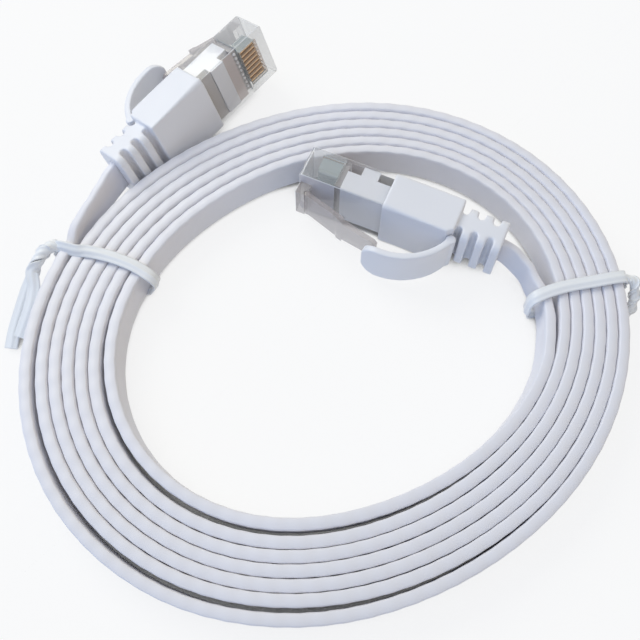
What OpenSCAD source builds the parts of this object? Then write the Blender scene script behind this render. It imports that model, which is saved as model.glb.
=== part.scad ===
// Ethernet patch cable: a flat cable wound on edge into an oval coil and held by two twist ties.
// Each end has an eight-contact modular plug in a slotted boot with a hood over the latch.
// Plug frame: X towards the nose, Y towards the latch, Z across the contacts, origin on the nose.
// Parts ending in _a are on the outer end of the cable, parts ending in _b on the inner end.

/* [Cable] */
// Width of the flat cable, which stands on edge
cable_w = 6.2; // [5.8:0.1:6.6]
// Thickness of the flat cable
cable_t = 1.45; // [1.2:0.05:1.45]
// Chamfer along the jacket's edges
cable_edge = 0.4; // [0.2:0.05:0.55]
// Diameter of one insulated conductor
conductor_d = 0.72; // [0.6:0.02:0.76]

/* [Coil] */
// Turns between the two free stretches
coil_turns = 6.5; // [3.5:1:6.5]
// Mean radius at which the coil starts
coil_r = 49.8; // [47:0.1:56]
// Half the difference between the oval's long and short axes, taken on the radius
coil_oval = 3.4; // [2:0.1:4]
// Mean step from one turn to the next
turn_pitch = 2.22; // [2.2:0.02:2.4]
// How much that step grows on the loose side and shrinks opposite
pitch_swing = 0.26; // [0:0.01:0.26]
// Lean of the turns, outward at the top, in degrees
coil_lean = 6; // [0:1:8]

/* [Plug housing] */
// Width across the contacts
plug_w = 11.68; // [11.5:0.02:11.8]
// Thickness from the contact face to the latch face
plug_t = 6.5; // [6.3:0.1:6.8]
// Length from nose to rear
plug_l = 22.3; // [21:0.1:23]
// Wall of the hollow rear
plug_wall = 0.85; // [0.7:0.05:1]
// Bevel on the two sides of the nose
nose_bevel = 0.4; // [0.2:0.1:1.2]
// Distance from the nose to the hollow rear
channel_l = 6.6; // [6.4:0.1:7]

/* [Contacts] */
// Number of contacts and conductors
contact_count = 8; // [8:1:8]
// Centre distance of the contacts
contact_pitch = 1.02; // [1:0.01:1.04]
// Thickness of a contact blade
contact_t = 0.3; // [0.24:0.02:0.34]
// Length of a contact blade
contact_l = 3.9; // [3:0.1:4]
// Distance from the nose to a blade
contact_setback = 2.3; // [2:0.05:2.4]
// Depth of a blade's top below the contact face
contact_recess = 0.45; // [0.3:0.05:0.6]

/* [Wire guide and insert] */
// Length of the clear wire guide
guide_l = 1.2; // [1:0.1:1.8]
// Length of the white insert behind it
insert_l = 9.8; // [9:0.1:10.4]
// Length of the insert's locking tab
tab_l = 3.2; // [2:0.1:3.6]
// Distance from the insert's front to the tab
tab_setback = 2.5; // [2.2:0.1:3]
// Depth of the step beside the tab
tab_h = 1.25; // [0.8:0.05:1.3]

/* [Boot] */
// Width across the contacts at the front
boot_w = 12.9; // [12.8:0.1:13.6]
// Thickness at the front
boot_t = 7.8; // [7.7:0.1:8.4]
// Length of the solid body
boot_l = 13.4; // [12.8:0.1:15]
// Width at the rear of the solid body
boot_rear_w = 11.8; // [11:0.1:12.4]
// Thickness at the rear of the solid body
boot_rear_t = 7.5; // [7.2:0.1:7.8]
// How far the boot reaches over the housing
boot_cover = 6.1; // [5.5:0.1:7]
// Radius along the edges of the solid body
boot_edge_r = 1; // [0.5:0.1:1.5]
// Number of strain relief ribs
rib_count = 3; // [2:1:4]
// Length of one rib along the cable
rib_l = 1.6; // [1.2:0.1:1.8]
// Open gap before each rib
rib_gap = 1.3; // [1:0.1:1.6]
// Width of the ribs
rib_w = 10.2; // [9.6:0.1:10.8]
// Thickness of the ribs
rib_t = 7; // [6.4:0.1:7.2]
// Radius along the edges of the ribs
rib_edge_r = 1.6; // [0.8:0.1:2]
// Thickness of the spine that joins the ribs
spine_t = 2.8; // [2.6:0.1:3.2]

/* [Hood] */
// Outer radius of the hood's arch
hood_r = 12.2; // [11.8:0.1:12.8]
// Wall of the hood
hood_t = 1.3; // [1.1:0.05:1.4]
// Width of the hood
hood_w = 8.8; // [8:0.1:9.4]
// Corner radius of the free end
hood_end_r = 3.2; // [2:0.1:3.6]

/* [Latch] */
// Thickness of the latch lever
latch_t = 0.9; // [0.7:0.05:1]
// Width of the lever up to its shoulders
latch_w = 7; // [6:0.1:7.2]
// Width of the lever's tail
latch_tail_w = 4.8; // [3.2:0.1:5.4]
// Distance from the nose to the shoulders
latch_shoulder = 10.5; // [9.8:0.1:10.8]
// Distance from the nose to the end of the tail
latch_l = 17.6; // [16:0.1:18]
// Angle between the lever and the housing, in degrees
latch_angle = 17; // [14:0.5:18]

/* [Ties] */
// Width of the twist tie strip
tie_w = 2.3; // [1.8:0.1:3]
// Thickness of the strip
tie_t = 0.8; // [0.6:0.05:0.9]
// Clearance between the strip and the turns
tie_clear = 0.25; // [0.15:0.05:0.3]

/* [Hidden] */
digits = [for (i = [1 : contact_count]) i];
function eight(stem) = [for (i = digits) str(stem, i)];

seam = 0.05;             // running clearance between parts that fit one another
eps = 0.01;              // overlap that makes a cut go cleanly through
$fn = 48;

// Middle of the coil, placed so that the footprint is centred on the origin
coil_x = 2.13;
coil_y = -7.97;
coil_z = tie_t + cable_w / 2;

// ---- The coil's line ----
coil_start = 172;        // direction of the coil's outer end, seen from its middle
oval_turn = 28;          // direction of the oval's long axis
loose_side = 235;        // direction in which the turns lie furthest apart
loop_rings = 24;         // rings in one turn
ring_step = 360 / loop_rings;
coil_rings = coil_turns * loop_rings;
coil_end = coil_start + 360 * coil_turns;

function step_at(a) = turn_pitch + pitch_swing * cos(a - loose_side);
function line_r(a) = coil_r + coil_oval * cos(2 * (a - oval_turn)) - step_at(a) * (a - coil_start) / 360;
function line_xy(a) = [coil_x, coil_y] + line_r(a) * [cos(a), sin(a)];

// Radius of the straight facet between two rings, which is what the solid really has at angle a
function facet_r(a) =
    let (i = floor((a - coil_start) / ring_step), a0 = coil_start + i * ring_step, a1 = a0 + ring_step,
         r0 = line_r(a0), r1 = line_r(a1))
    r0 * r1 * sin(ring_step) / (r0 * sin(a - a0) + r1 * sin(a1 - a));

// ---- Sections of the jacket: first along the thickness, outward, then up the width ----
ht = cable_t / 2;
hw = cable_w / 2;
flat_section = [[-ht, -hw], [ht, -hw], [ht, hw - cable_edge], [ht - cable_edge, hw],
    [-ht + cable_edge, hw], [-ht, hw - cable_edge]];
eight_section = [[-ht + cable_edge, -hw], [ht - cable_edge, -hw],
    [ht, -hw + cable_edge], [ht, hw - cable_edge],
    [ht - cable_edge, hw], [-ht + cable_edge, hw],
    [-ht, hw - cable_edge], [-ht, -hw + cable_edge]];

// One ring of the coil: the section stands in the plane through the coil's axis and leans outward
function coil_ring(a, section) =
    [for (q = section)
        let (r = line_r(a) + q[0] + q[1] * tan(coil_lean))
        [coil_x + r * cos(a), coil_y + r * sin(a), coil_z + q[1]]];

// One ring of a free stretch at point p, with the cable running along t and its top leaning outward
function unit(v) = v / norm(v);
function free_ring(p, t, lean, section) =
    let (out = unit(cross(t, [0, 0, 1])), tall = [0, 0, 1] + out * tan(lean),
         up = unit(tall - t * (tall * t)), side = cross(t, up))
    [for (q = section) p + side * q[0] + up * q[1]];

// A tube through rings that all have the same number of points
module tube(rings) {
    n = len(rings[0]);
    m = len(rings);
    skin = [for (i = [0 : m - 2], j = [0 : n - 1], half = [0, 1])
        let (a = i * n + j, b = i * n + (j + 1) % n, c = a + n, d = b + n)
        half == 0 ? [a, b, d] : [a, d, c]];
    near_cap = [for (j = [1 : n - 2]) [0, j + 1, j]];
    far_cap = [for (j = [1 : n - 2]) [(m - 1) * n, (m - 1) * n + j, (m - 1) * n + j + 1]];
    polyhedron(points = [for (r = rings, p = r) p], faces = concat(skin, near_cap, far_cap));
}

// ---- Lengths along the plug, from the nose backwards ----
mouth_x = -channel_l;                        // front of the hollow rear
insert_front_x = mouth_x - guide_l;
insert_rear_x = insert_front_x - insert_l;
boot_front_x = -(plug_l - boot_cover);
boot_rear_x = boot_front_x - boot_l;
exit_x = boot_rear_x - rib_count * (rib_l + rib_gap);
hood_mid_r = hood_r - hood_t / 2;
hood_root_r = hood_t * 0.73;                 // round root of the hood
hood_root = [boot_rear_x, boot_rear_t / 2 + 0.3];
hood_spring = 158;                           // direction of the root, seen from the arch's middle
hood_tip = 74;                               // direction of the free end
hood_mid = hood_root - hood_mid_r * [cos(hood_spring), sin(hood_spring)];

// ---- Where the plugs lie: heading, nose-up pitch and roll in degrees ----
turn_a = [48.5, 4, -17];
turn_b = [156.7, 0.5, 0];
lie_gap_a = 1.2;         // from the outer turn to the side of the outer plug's last rib
lie_gap_b = 0.3;         // from the inner turn to the contact face of the inner plug
exit_a_at = 501;         // where the outer plug's last rib lies, as an angle along the coil's line
nose_b_at = 2255.4;      // where the inner plug's nose lies, as an angle along the coil's line
nose_b_lag = 2.7;        // how far the middle of that nose is ahead, in degrees

function along(turn) = [cos(turn[0]) * cos(turn[1]), sin(turn[0]) * cos(turn[1]), sin(turn[1])];
function polar(r, a) = [coil_x + r * cos(a), coil_y + r * sin(a)];

// Height of the nose at which the boot's front, its rear or the hood's edge stands on the ground
function boot_drop(x, w, t, turn) =
    cos(turn[1]) * (cos(turn[2]) * w + sin(abs(turn[2])) * t) / 2 - sin(turn[1]) * x;
function hood_drop(turn) = let (k = [-sin(turn[1]), cos(turn[1]) * sin(abs(turn[2]))])
    cos(turn[1]) * cos(turn[2]) * hood_w / 2 + k * hood_mid + hood_r * norm(k);
function nose_z(turn) = max(boot_drop(boot_front_x, boot_w, boot_t, turn),
    boot_drop(boot_rear_x, boot_rear_w, boot_rear_t, turn), hood_drop(turn));

exit_a_xy = polar(line_r(exit_a_at) + ht + rib_t / 2 + lie_gap_a, exit_a_at);
exit_a = [exit_a_xy[0], exit_a_xy[1], nose_z(turn_a) + along(turn_a)[2] * exit_x];
nose_a = exit_a - along(turn_a) * exit_x;
nose_b_xy = polar(line_r(nose_b_at) - ht - plug_t / 2 - lie_gap_b, nose_b_at + nose_b_lag);
nose_b = [nose_b_xy[0], nose_b_xy[1], nose_z(turn_b)];
exit_b = nose_b + along(turn_b) * exit_x;

module lie(at, turn) translate(at) rotate([0, 0, turn[0]]) rotate([turn[2], -turn[1], 0]) children();
module at_a() lie(nose_a, turn_a) children();
module at_b() lie(nose_b, turn_b) children();

// ---- The two free stretches: distance from the plug's exit or from the coil's end, then the lean ----
start_xy = line_xy(coil_start);
end_xy = line_xy(coil_end);
start_pt = [start_xy[0], start_xy[1], coil_z];
end_pt = [end_xy[0], end_xy[1], coil_z];
bend_a = [[[-4.2, -5.9, -0.5], 11], [[-7, -11.2, -1.3], 9]];
run_a = [[[2.5, 10.6, 0.1], 8], [[1.2, 6.6, 0], 7]];
run_b = [[[1, 5, 0], 5], [[1.3, 8.8, 0.05], 4], [[0.8, 12.3, 0.08], 3]];
bend_b = [[[5.8, -6.5, -2.3], 3], [[4.7, -4, -1.8], 2], [[2.6, -1.7, -0.9], 1]];
inside_x = [insert_rear_x - seam, -25, -32]; // points on the cable inside the boot, from the nose

function inner_pts(nose, turn) = [for (x = inside_x) nose + along(turn) * x];
path_a = concat(inner_pts(nose_a, turn_a), [exit_a], [for (q = bend_a) exit_a + q[0]],
    [for (q = run_a) start_pt + q[0]], [start_pt]);
lean_a = concat([for (x = inside_x) -turn_a[2]], [-turn_a[2]],
    [for (q = bend_a) q[1]], [for (q = run_a) q[1]], [coil_lean]);
path_b = concat([end_pt], [for (q = run_b) end_pt + q[0]], [for (q = bend_b) exit_b + q[0]], [exit_b],
    [for (i = [len(inside_x) - 1 : -1 : 0]) inner_pts(nose_b, turn_b)[i]]);
lean_b = concat([coil_lean], [for (q = run_b) q[1]], [for (q = bend_b) q[1]], [0, 0, 0, 0]);

// Direction of the cable at point i of a path; inside a boot it is the plug's own axis
function heading(path, i, first_in, last_in, axis) =
    (i >= first_in && i <= last_in) ? axis : unit(path[min(i + 1, len(path) - 1)] - path[max(i - 1, 0)]);

exit_b_i = len(path_b) - len(inside_x) - 1;
rings_a = concat(
    [for (i = [0 : len(path_a) - 2])
        let (t = heading(path_a, i, 0, len(inside_x), -along(turn_a)))
        free_ring(path_a[i], t, lean_a[i], eight_section)],
    [coil_ring(coil_start, eight_section)]);
rings_b = concat(
    [coil_ring(coil_end, eight_section)],
    [for (i = [1 : len(path_b) - 1])
        let (t = heading(path_b, i, exit_b_i, len(path_b), along(turn_b)))
        free_ring(path_b[i], t, lean_b[i], eight_section)]);

module lead_a() color("gainsboro") tube(rings_a);
module lead_b() color("gainsboro") tube(rings_b);
module coil() color("gainsboro")
    tube([for (i = [0 : coil_rings]) coil_ring(coil_start + i * ring_step, flat_section)]);

// Least gap between neighbouring turns, and the length of the whole cable, measured on points
function corner(i, inward) = let (a = coil_start + i * ring_step, r = line_r(a) + (inward ? -ht : ht))
    [coil_x + r * cos(a), coil_y + r * sin(a)];
function gap_to(p, a, b) = abs((b[0] - a[0]) * (a[1] - p[1]) - (a[0] - p[0]) * (b[1] - a[1])) / norm(b - a);
turn_gap = min([for (i = [0 : coil_rings - loop_rings - 1])
    gap_to(corner(i, true), corner(i + loop_rings, false), corner(i + loop_rings + 1, false))]);
function total(path, i = 0) = i >= len(path) - 1 ? 0 : norm(path[i + 1] - path[i]) + total(path, i + 1);
coil_path = [for (i = [0 : 4 * coil_rings])
    let (p = line_xy(coil_start + i * ring_step / 4)) [p[0], p[1], coil_z]];
echo(least_gap_between_turns = turn_gap);
echo(cable_length = total(path_a) + total(coil_path) + total(path_b));

// ---- Housing ----
contact_z = [for (i = digits) (i - (contact_count + 1) / 2) * contact_pitch];
slot_t = contact_t + 2 * 0.03;               // slot for a blade, with its play
channel_d = conductor_d + 0.2;               // channel for a conductor
wire_sides = 12;                             // sides of a conductor
cavity_w = plug_w - 2 * plug_wall;
cavity_t = plug_t - 2 * plug_wall;
blade_top_y = -plug_t / 2 + contact_recess;
blade_bottom_y = -0.45;                      // where the blade's body ends and its prongs begin
prong_y = 0.1;                               // tips of the prongs, in the conductor
root_r = 0.6;                                // round root of the latch
root_x = -2.4;
root_y = plug_t / 2 + 1.75;

// Pane with its corners cut off at the nose, for the plug seen from the contact face
module nose_plan(w) polygon([[0, -w / 2 + nose_bevel], [0, w / 2 - nose_bevel], [-nose_bevel, w / 2],
    [-plug_l, w / 2], [-plug_l, -w / 2], [-nose_bevel, -w / 2]]);

module along_y(h) rotate([90, 0, 0]) linear_extrude(height = h, center = true) children();
module block(x0, x1, y0, y1, w)
    translate([min(x0, x1), min(y0, y1), -w / 2]) cube([abs(x1 - x0), abs(y1 - y0), w]);
module rod(x0, x1, y, z, d, fn = 16)
    translate([min(x0, x1), y, z]) rotate([0, 90, 0]) cylinder(d = d, h = abs(x1 - x0), $fn = fn);

module housing() difference() {
    union() {
        along_y(plug_t) nose_plan(plug_w);
        // block at the nose that carries the latch
        difference() {
            block(-0.2, root_x, plug_t / 2 - eps, root_y + root_r, latch_w);
            translate([root_x, root_y, 0]) cylinder(r = root_r + 0.1, h = plug_w, center = true);
        }
    }
    // hollow rear for the guide and the insert
    block(mouth_x, -plug_l - 1, -cavity_t / 2, cavity_t / 2, cavity_w);
    // channels and slots
    for (z = contact_z) {
        rod(-contact_setback - 0.2, mouth_x - eps, 0, z, channel_d);
        translate([-contact_setback + 0.04, -plug_t / 2 - 1, z - slot_t / 2]) mirror([1, 0, 0])
            cube([contact_l + 0.08, plug_t / 2 + 1 + blade_bottom_y + 0.2, slot_t]);
    }
    // shallow window over the blades
    block(-contact_setback + 0.2, -contact_setback - contact_l - 0.2, -plug_t / 2 - 1, -plug_t / 2 + 0.25,
        contact_count * contact_pitch + 0.2);
}

// ---- Blades, conductors, guide and insert ----
// A blade: its top edge bends down at the front, and two prongs on its lower edge pierce the conductor
prong_half = 0.25;                           // half the width of a prong at its root
prong_inset = 0.95;                          // from a blade's end to the middle of the prong beside it
front_drop = 0.4;                            // how far the top edge bends down at the front
module contact(i) color("goldenrod") {
    x0 = -contact_setback;
    x1 = x0 - contact_l;
    translate([0, 0, contact_z[i - 1] - contact_t / 2]) linear_extrude(contact_t) polygon([
        [x0, blade_top_y + front_drop], [x0 - front_drop, blade_top_y],
        [x1, blade_top_y], [x1, blade_bottom_y],
        [x1 + prong_inset - prong_half, blade_bottom_y],
        [x1 + prong_inset, prong_y],
        [x1 + prong_inset + prong_half, blade_bottom_y],
        [x0 - prong_inset - prong_half, blade_bottom_y],
        [x0 - prong_inset, prong_y],
        [x0 - prong_inset + prong_half, blade_bottom_y],
        [x0, blade_bottom_y]]);
}

wire_colours = ["moccasin", "darkorange", "honeydew", "royalblue",
    "lightsteelblue", "seagreen", "wheat", "saddlebrown"];
fan_x = insert_front_x - 3;                  // where the conductors start to draw together
jacket_pitch = (cable_w - 0.3) / contact_count;

module conductor(i) color(wire_colours[i - 1]) {
    z = contact_z[i - 1];
    z_jacket = (i - (contact_count + 1) / 2) * jacket_pitch;
    stations = [[-contact_setback - 0.25, z], [fan_x, z], [insert_rear_x, z_jacket]];
    difference() {
        tube([for (s = stations) [for (k = [0 : wire_sides - 1]) let (a = -360 * k / wire_sides)
            [s[0], conductor_d / 2 * cos(a), s[1] + conductor_d / 2 * sin(a)]]]);
        // cut by the blade's prongs
        translate([-contact_setback + 0.04, -plug_t / 2, z - slot_t / 2]) mirror([1, 0, 0])
            cube([contact_l + 0.08, plug_t / 2 + prong_y + 0.05, slot_t]);
    }
}

module wire_guide() difference() {
    block(mouth_x - seam, insert_front_x + seam,
        -cavity_t / 2 + seam, cavity_t / 2 - seam, cavity_w - 2 * seam);
    for (z = contact_z) rod(mouth_x + 1, insert_front_x - 1, 0, z, channel_d);
}

module insert() {
    low_y = -cavity_t / 2 + tab_h;
    tab_x = insert_front_x - tab_setback;
    difference() {
        union() {
            block(insert_front_x, insert_rear_x, low_y, cavity_t / 2 - seam, cavity_w - 2 * seam);
            block(tab_x, tab_x - tab_l, -cavity_t / 2 + seam, low_y + eps, cavity_w - 2 * seam);
        }
        for (z = contact_z) rod(insert_front_x + 1, fan_x - eps, 0, z, channel_d);
        // flat pocket in which the conductors draw together
        block(fan_x + channel_d / 2, insert_rear_x - 1, -channel_d / 2, channel_d / 2,
            contact_count * contact_pitch + 0.4);
    }
}

// ---- Latch ----
lever_run = latch_shoulder + root_x;         // along the plug, from the root to the shoulders
tail_angle = latch_angle - 5;
lever_end = [root_x - lever_run, root_y + lever_run * tan(latch_angle)];
tail_run = latch_l - latch_shoulder;

module lever_side() polygon([
    [root_x, root_y - latch_t / 2], lever_end - [0, latch_t / 2],
    lever_end + [-tail_run, tail_run * tan(tail_angle) - latch_t / 2],
    lever_end + [-tail_run, tail_run * tan(tail_angle) + latch_t / 2],
    lever_end + [0, latch_t / 2 + 0.25], lever_end + [1.2, latch_t / 2 + 0.25 - 1.2 * tan(latch_angle)],
    lever_end + [1.5, latch_t / 2 - 1.5 * tan(latch_angle)], [root_x, root_y + latch_t / 2]]);

module latch() {
    translate([root_x, root_y, 0]) cylinder(r = root_r, h = latch_w - 0.6, center = true);
    intersection() {
        linear_extrude(height = latch_w, center = true) lever_side();
        along_y(plug_w * 4) polygon([[root_x, -latch_w / 2 + 0.3], [root_x, latch_w / 2 - 0.3],
            [lever_end[0], latch_w / 2], [lever_end[0], latch_tail_w / 2 + 0.3],
            [-latch_l + 0.6, latch_tail_w / 2], [-latch_l, latch_tail_w / 2 - 0.6],
            [-latch_l, -latch_tail_w / 2 + 0.6], [-latch_l + 0.6, -latch_tail_w / 2],
            [lever_end[0], -latch_tail_w / 2 - 0.3], [lever_end[0], -latch_w / 2]]);
    }
}

// ---- Hood: an arch that springs from the boot and reaches forward over the latch's tail ----
module hood() {
    translate([hood_root[0], hood_root[1], 0]) cylinder(r = hood_root_r, h = hood_w, center = true);
    intersection() {
        translate([hood_mid[0], hood_mid[1], -hood_w / 2]) rotate([0, 0, hood_tip])
            rotate_extrude(angle = hood_spring - hood_tip, $fn = 96)
                translate([hood_r - hood_t, 0]) square([hood_t, hood_w]);
        along_y(plug_w * 4) hood_plan();
    }
}

// The hood seen from the latch side, with a round free end
module hood_plan() {
    tip_x = hood_mid[0] + hood_r * cos(hood_tip);
    translate([hood_root[0] - hood_t, -hood_w / 2])
        square([tip_x - hood_end_r - hood_root[0] + hood_t, hood_w]);
    translate([tip_x - hood_end_r - eps, -hood_w / 2 + hood_end_r])
        square([hood_end_r + eps, hood_w - 2 * hood_end_r]);
    for (s = [-1, 1]) translate([tip_x - hood_end_r, s * (hood_w / 2 - hood_end_r)]) circle(r = hood_end_r);
}

// ---- Boot ----
module round_pane(w, h, r) {
    square([w - 2 * r, h], center = true);
    square([w, h - 2 * r], center = true);
    for (x = [-1, 1], y = [-1, 1]) translate([x * (w / 2 - r), y * (h / 2 - r)]) circle(r = r);
}
module facing_x(x, l) translate([x, 0, 0]) rotate([90, 0, -90]) linear_extrude(height = l) children();

// Slot between two ribs, open on one side of the tail and round where it ends at the spine
module rib_slot(x, side) {
    bottom_y = spine_t / 2 + rib_gap / 2;
    translate([x - rib_gap / 2, side * bottom_y, 0])
        cylinder(d = rib_gap, h = rib_w + 2, center = true, $fn = 24);
    translate([x - rib_gap, side > 0 ? bottom_y : -bottom_y - rib_t, -rib_w / 2 - 1])
        cube([rib_gap, rib_t, rib_w + 2]);
}

// Outline of the solid body, drawing in from the front to the rear
module taper(front, rear) polygon([[boot_front_x, -front / 2], [boot_front_x, front / 2],
    [boot_rear_x, rear / 2], [boot_rear_x, -rear / 2]]);

module boot() difference() {
    union() {
        intersection() {
            linear_extrude(height = boot_w, center = true) taper(boot_t, boot_rear_t);
            along_y(boot_t) taper(boot_w, boot_rear_w);
            facing_x(boot_front_x + 1, boot_l + 2) round_pane(boot_t, boot_w, boot_edge_r);
        }
        // tail of the strain relief
        facing_x(boot_rear_x + eps, boot_rear_x - exit_x + eps) round_pane(rib_t, rib_w, rib_edge_r);
    }
    for (i = [0 : rib_count - 1], side = [-1, 1]) rib_slot(boot_rear_x - i * (rib_l + rib_gap), side);
    // pocket for the housing's rear, and the way through for the cable
    block(boot_front_x + 1, -plug_l - seam, -plug_t / 2 - seam, plug_t / 2 + seam, plug_w + 2 * seam);
    block(-plug_l, exit_x - 1, -ht - 0.1, ht + 0.1, cable_w + 0.2);
    // seat of the hood's root
    translate([hood_root[0], hood_root[1], 0])
        cylinder(r = hood_root_r + seam * 2, h = boot_w * 2, center = true);
}

// ---- Ties ----
// Loop round all the turns, square to them, between the middles of its outermost and innermost strand
module band(at, skew, outer_r, inner_r) {
    low = tie_t;
    high = tie_t + cable_w + tie_clear;
    reach = (outer_r - inner_r) / 2 * cos(skew) + ht + tie_clear;
    shift = hw * tan(coil_lean);
    opening = [[-reach - shift, low], [reach - shift, low], [reach + shift, high], [-reach + shift, high]];
    middle = polar((outer_r + inner_r) / 2, at);
    translate([middle[0], middle[1], 0]) rotate([0, 0, at - skew]) rotate([90, 0, 0])
        linear_extrude(height = tie_w, center = true) difference() {
            offset(r = tie_t, $fn = 24) polygon(opening);
            polygon(opening);
        }
}

// Two strands wound round one another along a smooth line through points, then lying apart as tails
function knot(pts, i) = pts[max(0, min(i, len(pts) - 1))];
function smooth(pts, s) = let (k = min(floor(s), len(pts) - 2), f = s - k,
        a = knot(pts, k - 1), b = knot(pts, k), c = knot(pts, k + 1), d = knot(pts, k + 2))
    (2 * b + (c - a) * f + (2 * a - 5 * b + 4 * c - d) * f * f + (3 * b - a - 3 * c + d) * f * f * f) / 2;
module twisted(pts, wound, turns, spread, thick, steps) {
    n = len(pts) - 1;
    for (side = [0, 180]) {
        line = [for (i = [0 : steps])
            let (s = i * n / steps,
                 w = side + 360 * turns * min(s / wound, 1),
                 t = unit(smooth(pts, min(s + 0.1, n)) - smooth(pts, max(s - 0.1, 0))),
                 a = unit(cross(t, [0, 0, 1])),
                 b = cross(t, a),
                 away = thick * strand_sink + spread * max(0, s - wound))
            smooth(pts, s) + away * (a * cos(w) + b * sin(w))];
        tube([for (i = [0 : steps])
            let (t = unit(line[min(i + 1, steps)] - line[max(i - 1, 0)]),
                 a = unit(cross(t, [0, 0, 1])),
                 b = cross(a, t))
            [for (q = [0 : 5]) line[i] + thick / 2 * (a * cos(60 * q) + b * sin(60 * q))]]);
    }
}

tie_left_at = 162;
tie_right_at = 371;
tie_left_skew = 6;       // the oval's slope there, in degrees
tie_right_skew = 5;
lead_swell = 1.4;        // how far the outer free stretch stands off the line of the coil at the left tie
inner_swell = 1.55;      // how far the inner free stretch draws in from it at the right tie
strand_t = 1.1;
strand_sink = 0.4;       // from the twist's middle to a strand's, as a share of the strand: they press in
left_wound = 2.6;        // how many steps of the line the left tie's strands stay wound together
right_wound = 3;
left_turns = 1.5;        // turns round one another
right_turns = 1;
left_spread = 0.4;       // how fast the left tie's tails part after that
left_outer_r = line_r(tie_left_at) + lead_swell;
right_outer_r = facet_r(tie_right_at);
left_root = polar(left_outer_r + ht + tie_t / 2, tie_left_at);
right_root = polar(right_outer_r + ht + tie_t / 2, tie_right_at);
left_tail = [[-1.1, 0.4, 6.3], [-2.8, 0.6, 6.6], [-4.4, -0.8, 6],
    [-5.4, -3.6, 4.8], [-6.2, -8.6, 3], [-7, -14.6, 1.6]];
right_tail = [[1.2, 0.2, 6.2], [2, -1, 5.2], [2.2, -2.8, 4], [2, -4.6, 3]];

function from_root(root, tail) = [for (q = tail) [root[0] + q[0], root[1] + q[1], q[2]]];

module tie_left() color("whitesmoke") {
    inner_r = facet_r(tie_left_at + 360 * floor(coil_turns));
    band(tie_left_at, tie_left_skew, left_outer_r, inner_r);
    twisted(from_root(left_root, left_tail), left_wound, left_turns, left_spread, strand_t, 26);
}
module tie_right() color("whitesmoke") {
    inner_r = line_r(tie_right_at + 360 * floor(coil_turns)) - inner_swell;
    band(tie_right_at, tie_right_skew, right_outer_r, inner_r);
    twisted(from_root(right_root, right_tail), right_wound, right_turns, 0, strand_t, 12);
}

lead_a();
coil();
lead_b();
tie_left();
tie_right();
at_a() color("lightcyan", 0.5) housing();  // housing_a
at_b() color("lightcyan", 0.5) housing();  // housing_b
at_a() color("lightcyan", 0.5) latch();  // latch_a
at_b() color("lightcyan", 0.5) latch();  // latch_b
at_a() color("white") boot();  // boot_a
at_b() color("white") boot();  // boot_b
at_a() color("white") hood();  // hood_a
at_b() color("white") hood();  // hood_b
at_a() color("white") insert();  // insert_a
at_b() color("white") insert();  // insert_b
at_a() color("lightcyan", 0.5) wire_guide();  // wire_guide_a
at_b() color("lightcyan", 0.5) wire_guide();  // wire_guide_b
for (i = digits) {
    at_a() contact(i);
    at_b() contact(i);
    at_a() conductor(i);
    at_b() conductor(i);
}
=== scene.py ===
import math
import random

import bmesh
import bpy
from mathutils import Matrix, Vector


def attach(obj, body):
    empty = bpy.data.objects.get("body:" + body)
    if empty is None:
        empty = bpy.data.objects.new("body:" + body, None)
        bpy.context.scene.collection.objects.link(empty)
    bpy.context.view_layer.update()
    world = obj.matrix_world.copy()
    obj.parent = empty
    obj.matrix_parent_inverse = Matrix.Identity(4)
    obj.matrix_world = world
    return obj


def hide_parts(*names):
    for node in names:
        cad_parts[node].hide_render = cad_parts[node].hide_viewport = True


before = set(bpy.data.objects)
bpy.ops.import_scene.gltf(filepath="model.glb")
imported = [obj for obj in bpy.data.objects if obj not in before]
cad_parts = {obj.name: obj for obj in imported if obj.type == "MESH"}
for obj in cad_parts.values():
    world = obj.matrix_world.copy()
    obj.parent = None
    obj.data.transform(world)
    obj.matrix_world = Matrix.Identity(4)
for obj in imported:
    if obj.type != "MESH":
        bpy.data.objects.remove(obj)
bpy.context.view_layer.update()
MM = 0.001

# ---- Table, light and camera ----
# The cable lies on a plain white table under soft daylight from a large window, seen from above
# the near side at arm's length. None of this is part of the cable.
scene = bpy.context.scene
scene.view_settings.view_transform = "Standard"


def plain_material(name):
    """An empty material and the node tree that it is made in."""
    material = bpy.data.materials.new(name)
    material.use_nodes = True
    material.node_tree.nodes.clear()
    return material, material.node_tree


class Value:
    """A shader value. Sums and products on it add Math nodes, and node() adds any other node."""

    def __init__(self, tree, socket):
        self.tree = tree
        self.socket = socket

    def _math(self, operation, a, b):
        return Shader(self.tree).node("ShaderNodeMath", {"operation": operation}, {0: a, 1: b})

    def __add__(self, other):
        return self._math("ADD", self, other)

    __radd__ = __add__

    def __sub__(self, other):
        return self._math("SUBTRACT", self, other)

    def __mul__(self, other):
        return self._math("MULTIPLY", self, other)

    __rmul__ = __mul__

    def __pow__(self, other):
        return self._math("POWER", self, other)


class Shader:
    """A material's node tree."""

    def __init__(self, tree):
        self.tree = tree

    def node(self, kind, settings=None, sockets=None, out=0):
        """Adds a node: its settings first, then the values or links of its sockets."""
        made = self.tree.nodes.new(kind)
        for key, value in (settings or {}).items():
            if key == "stops":
                ramp = made.color_ramp.elements
                while len(ramp) < len(value):
                    ramp.new(0.5)
                for stop, (place, colour) in zip(ramp, value):
                    stop.position = place
                    stop.color = (*colour, 1)
            else:
                setattr(made, key, value)
        for key, value in (sockets or {}).items():
            if isinstance(value, Value):
                self.tree.links.new(value.socket, made.inputs[key])
            else:
                made.inputs[key].default_value = value
        return Value(self.tree, made.outputs[out] if made.outputs else None)


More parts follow.
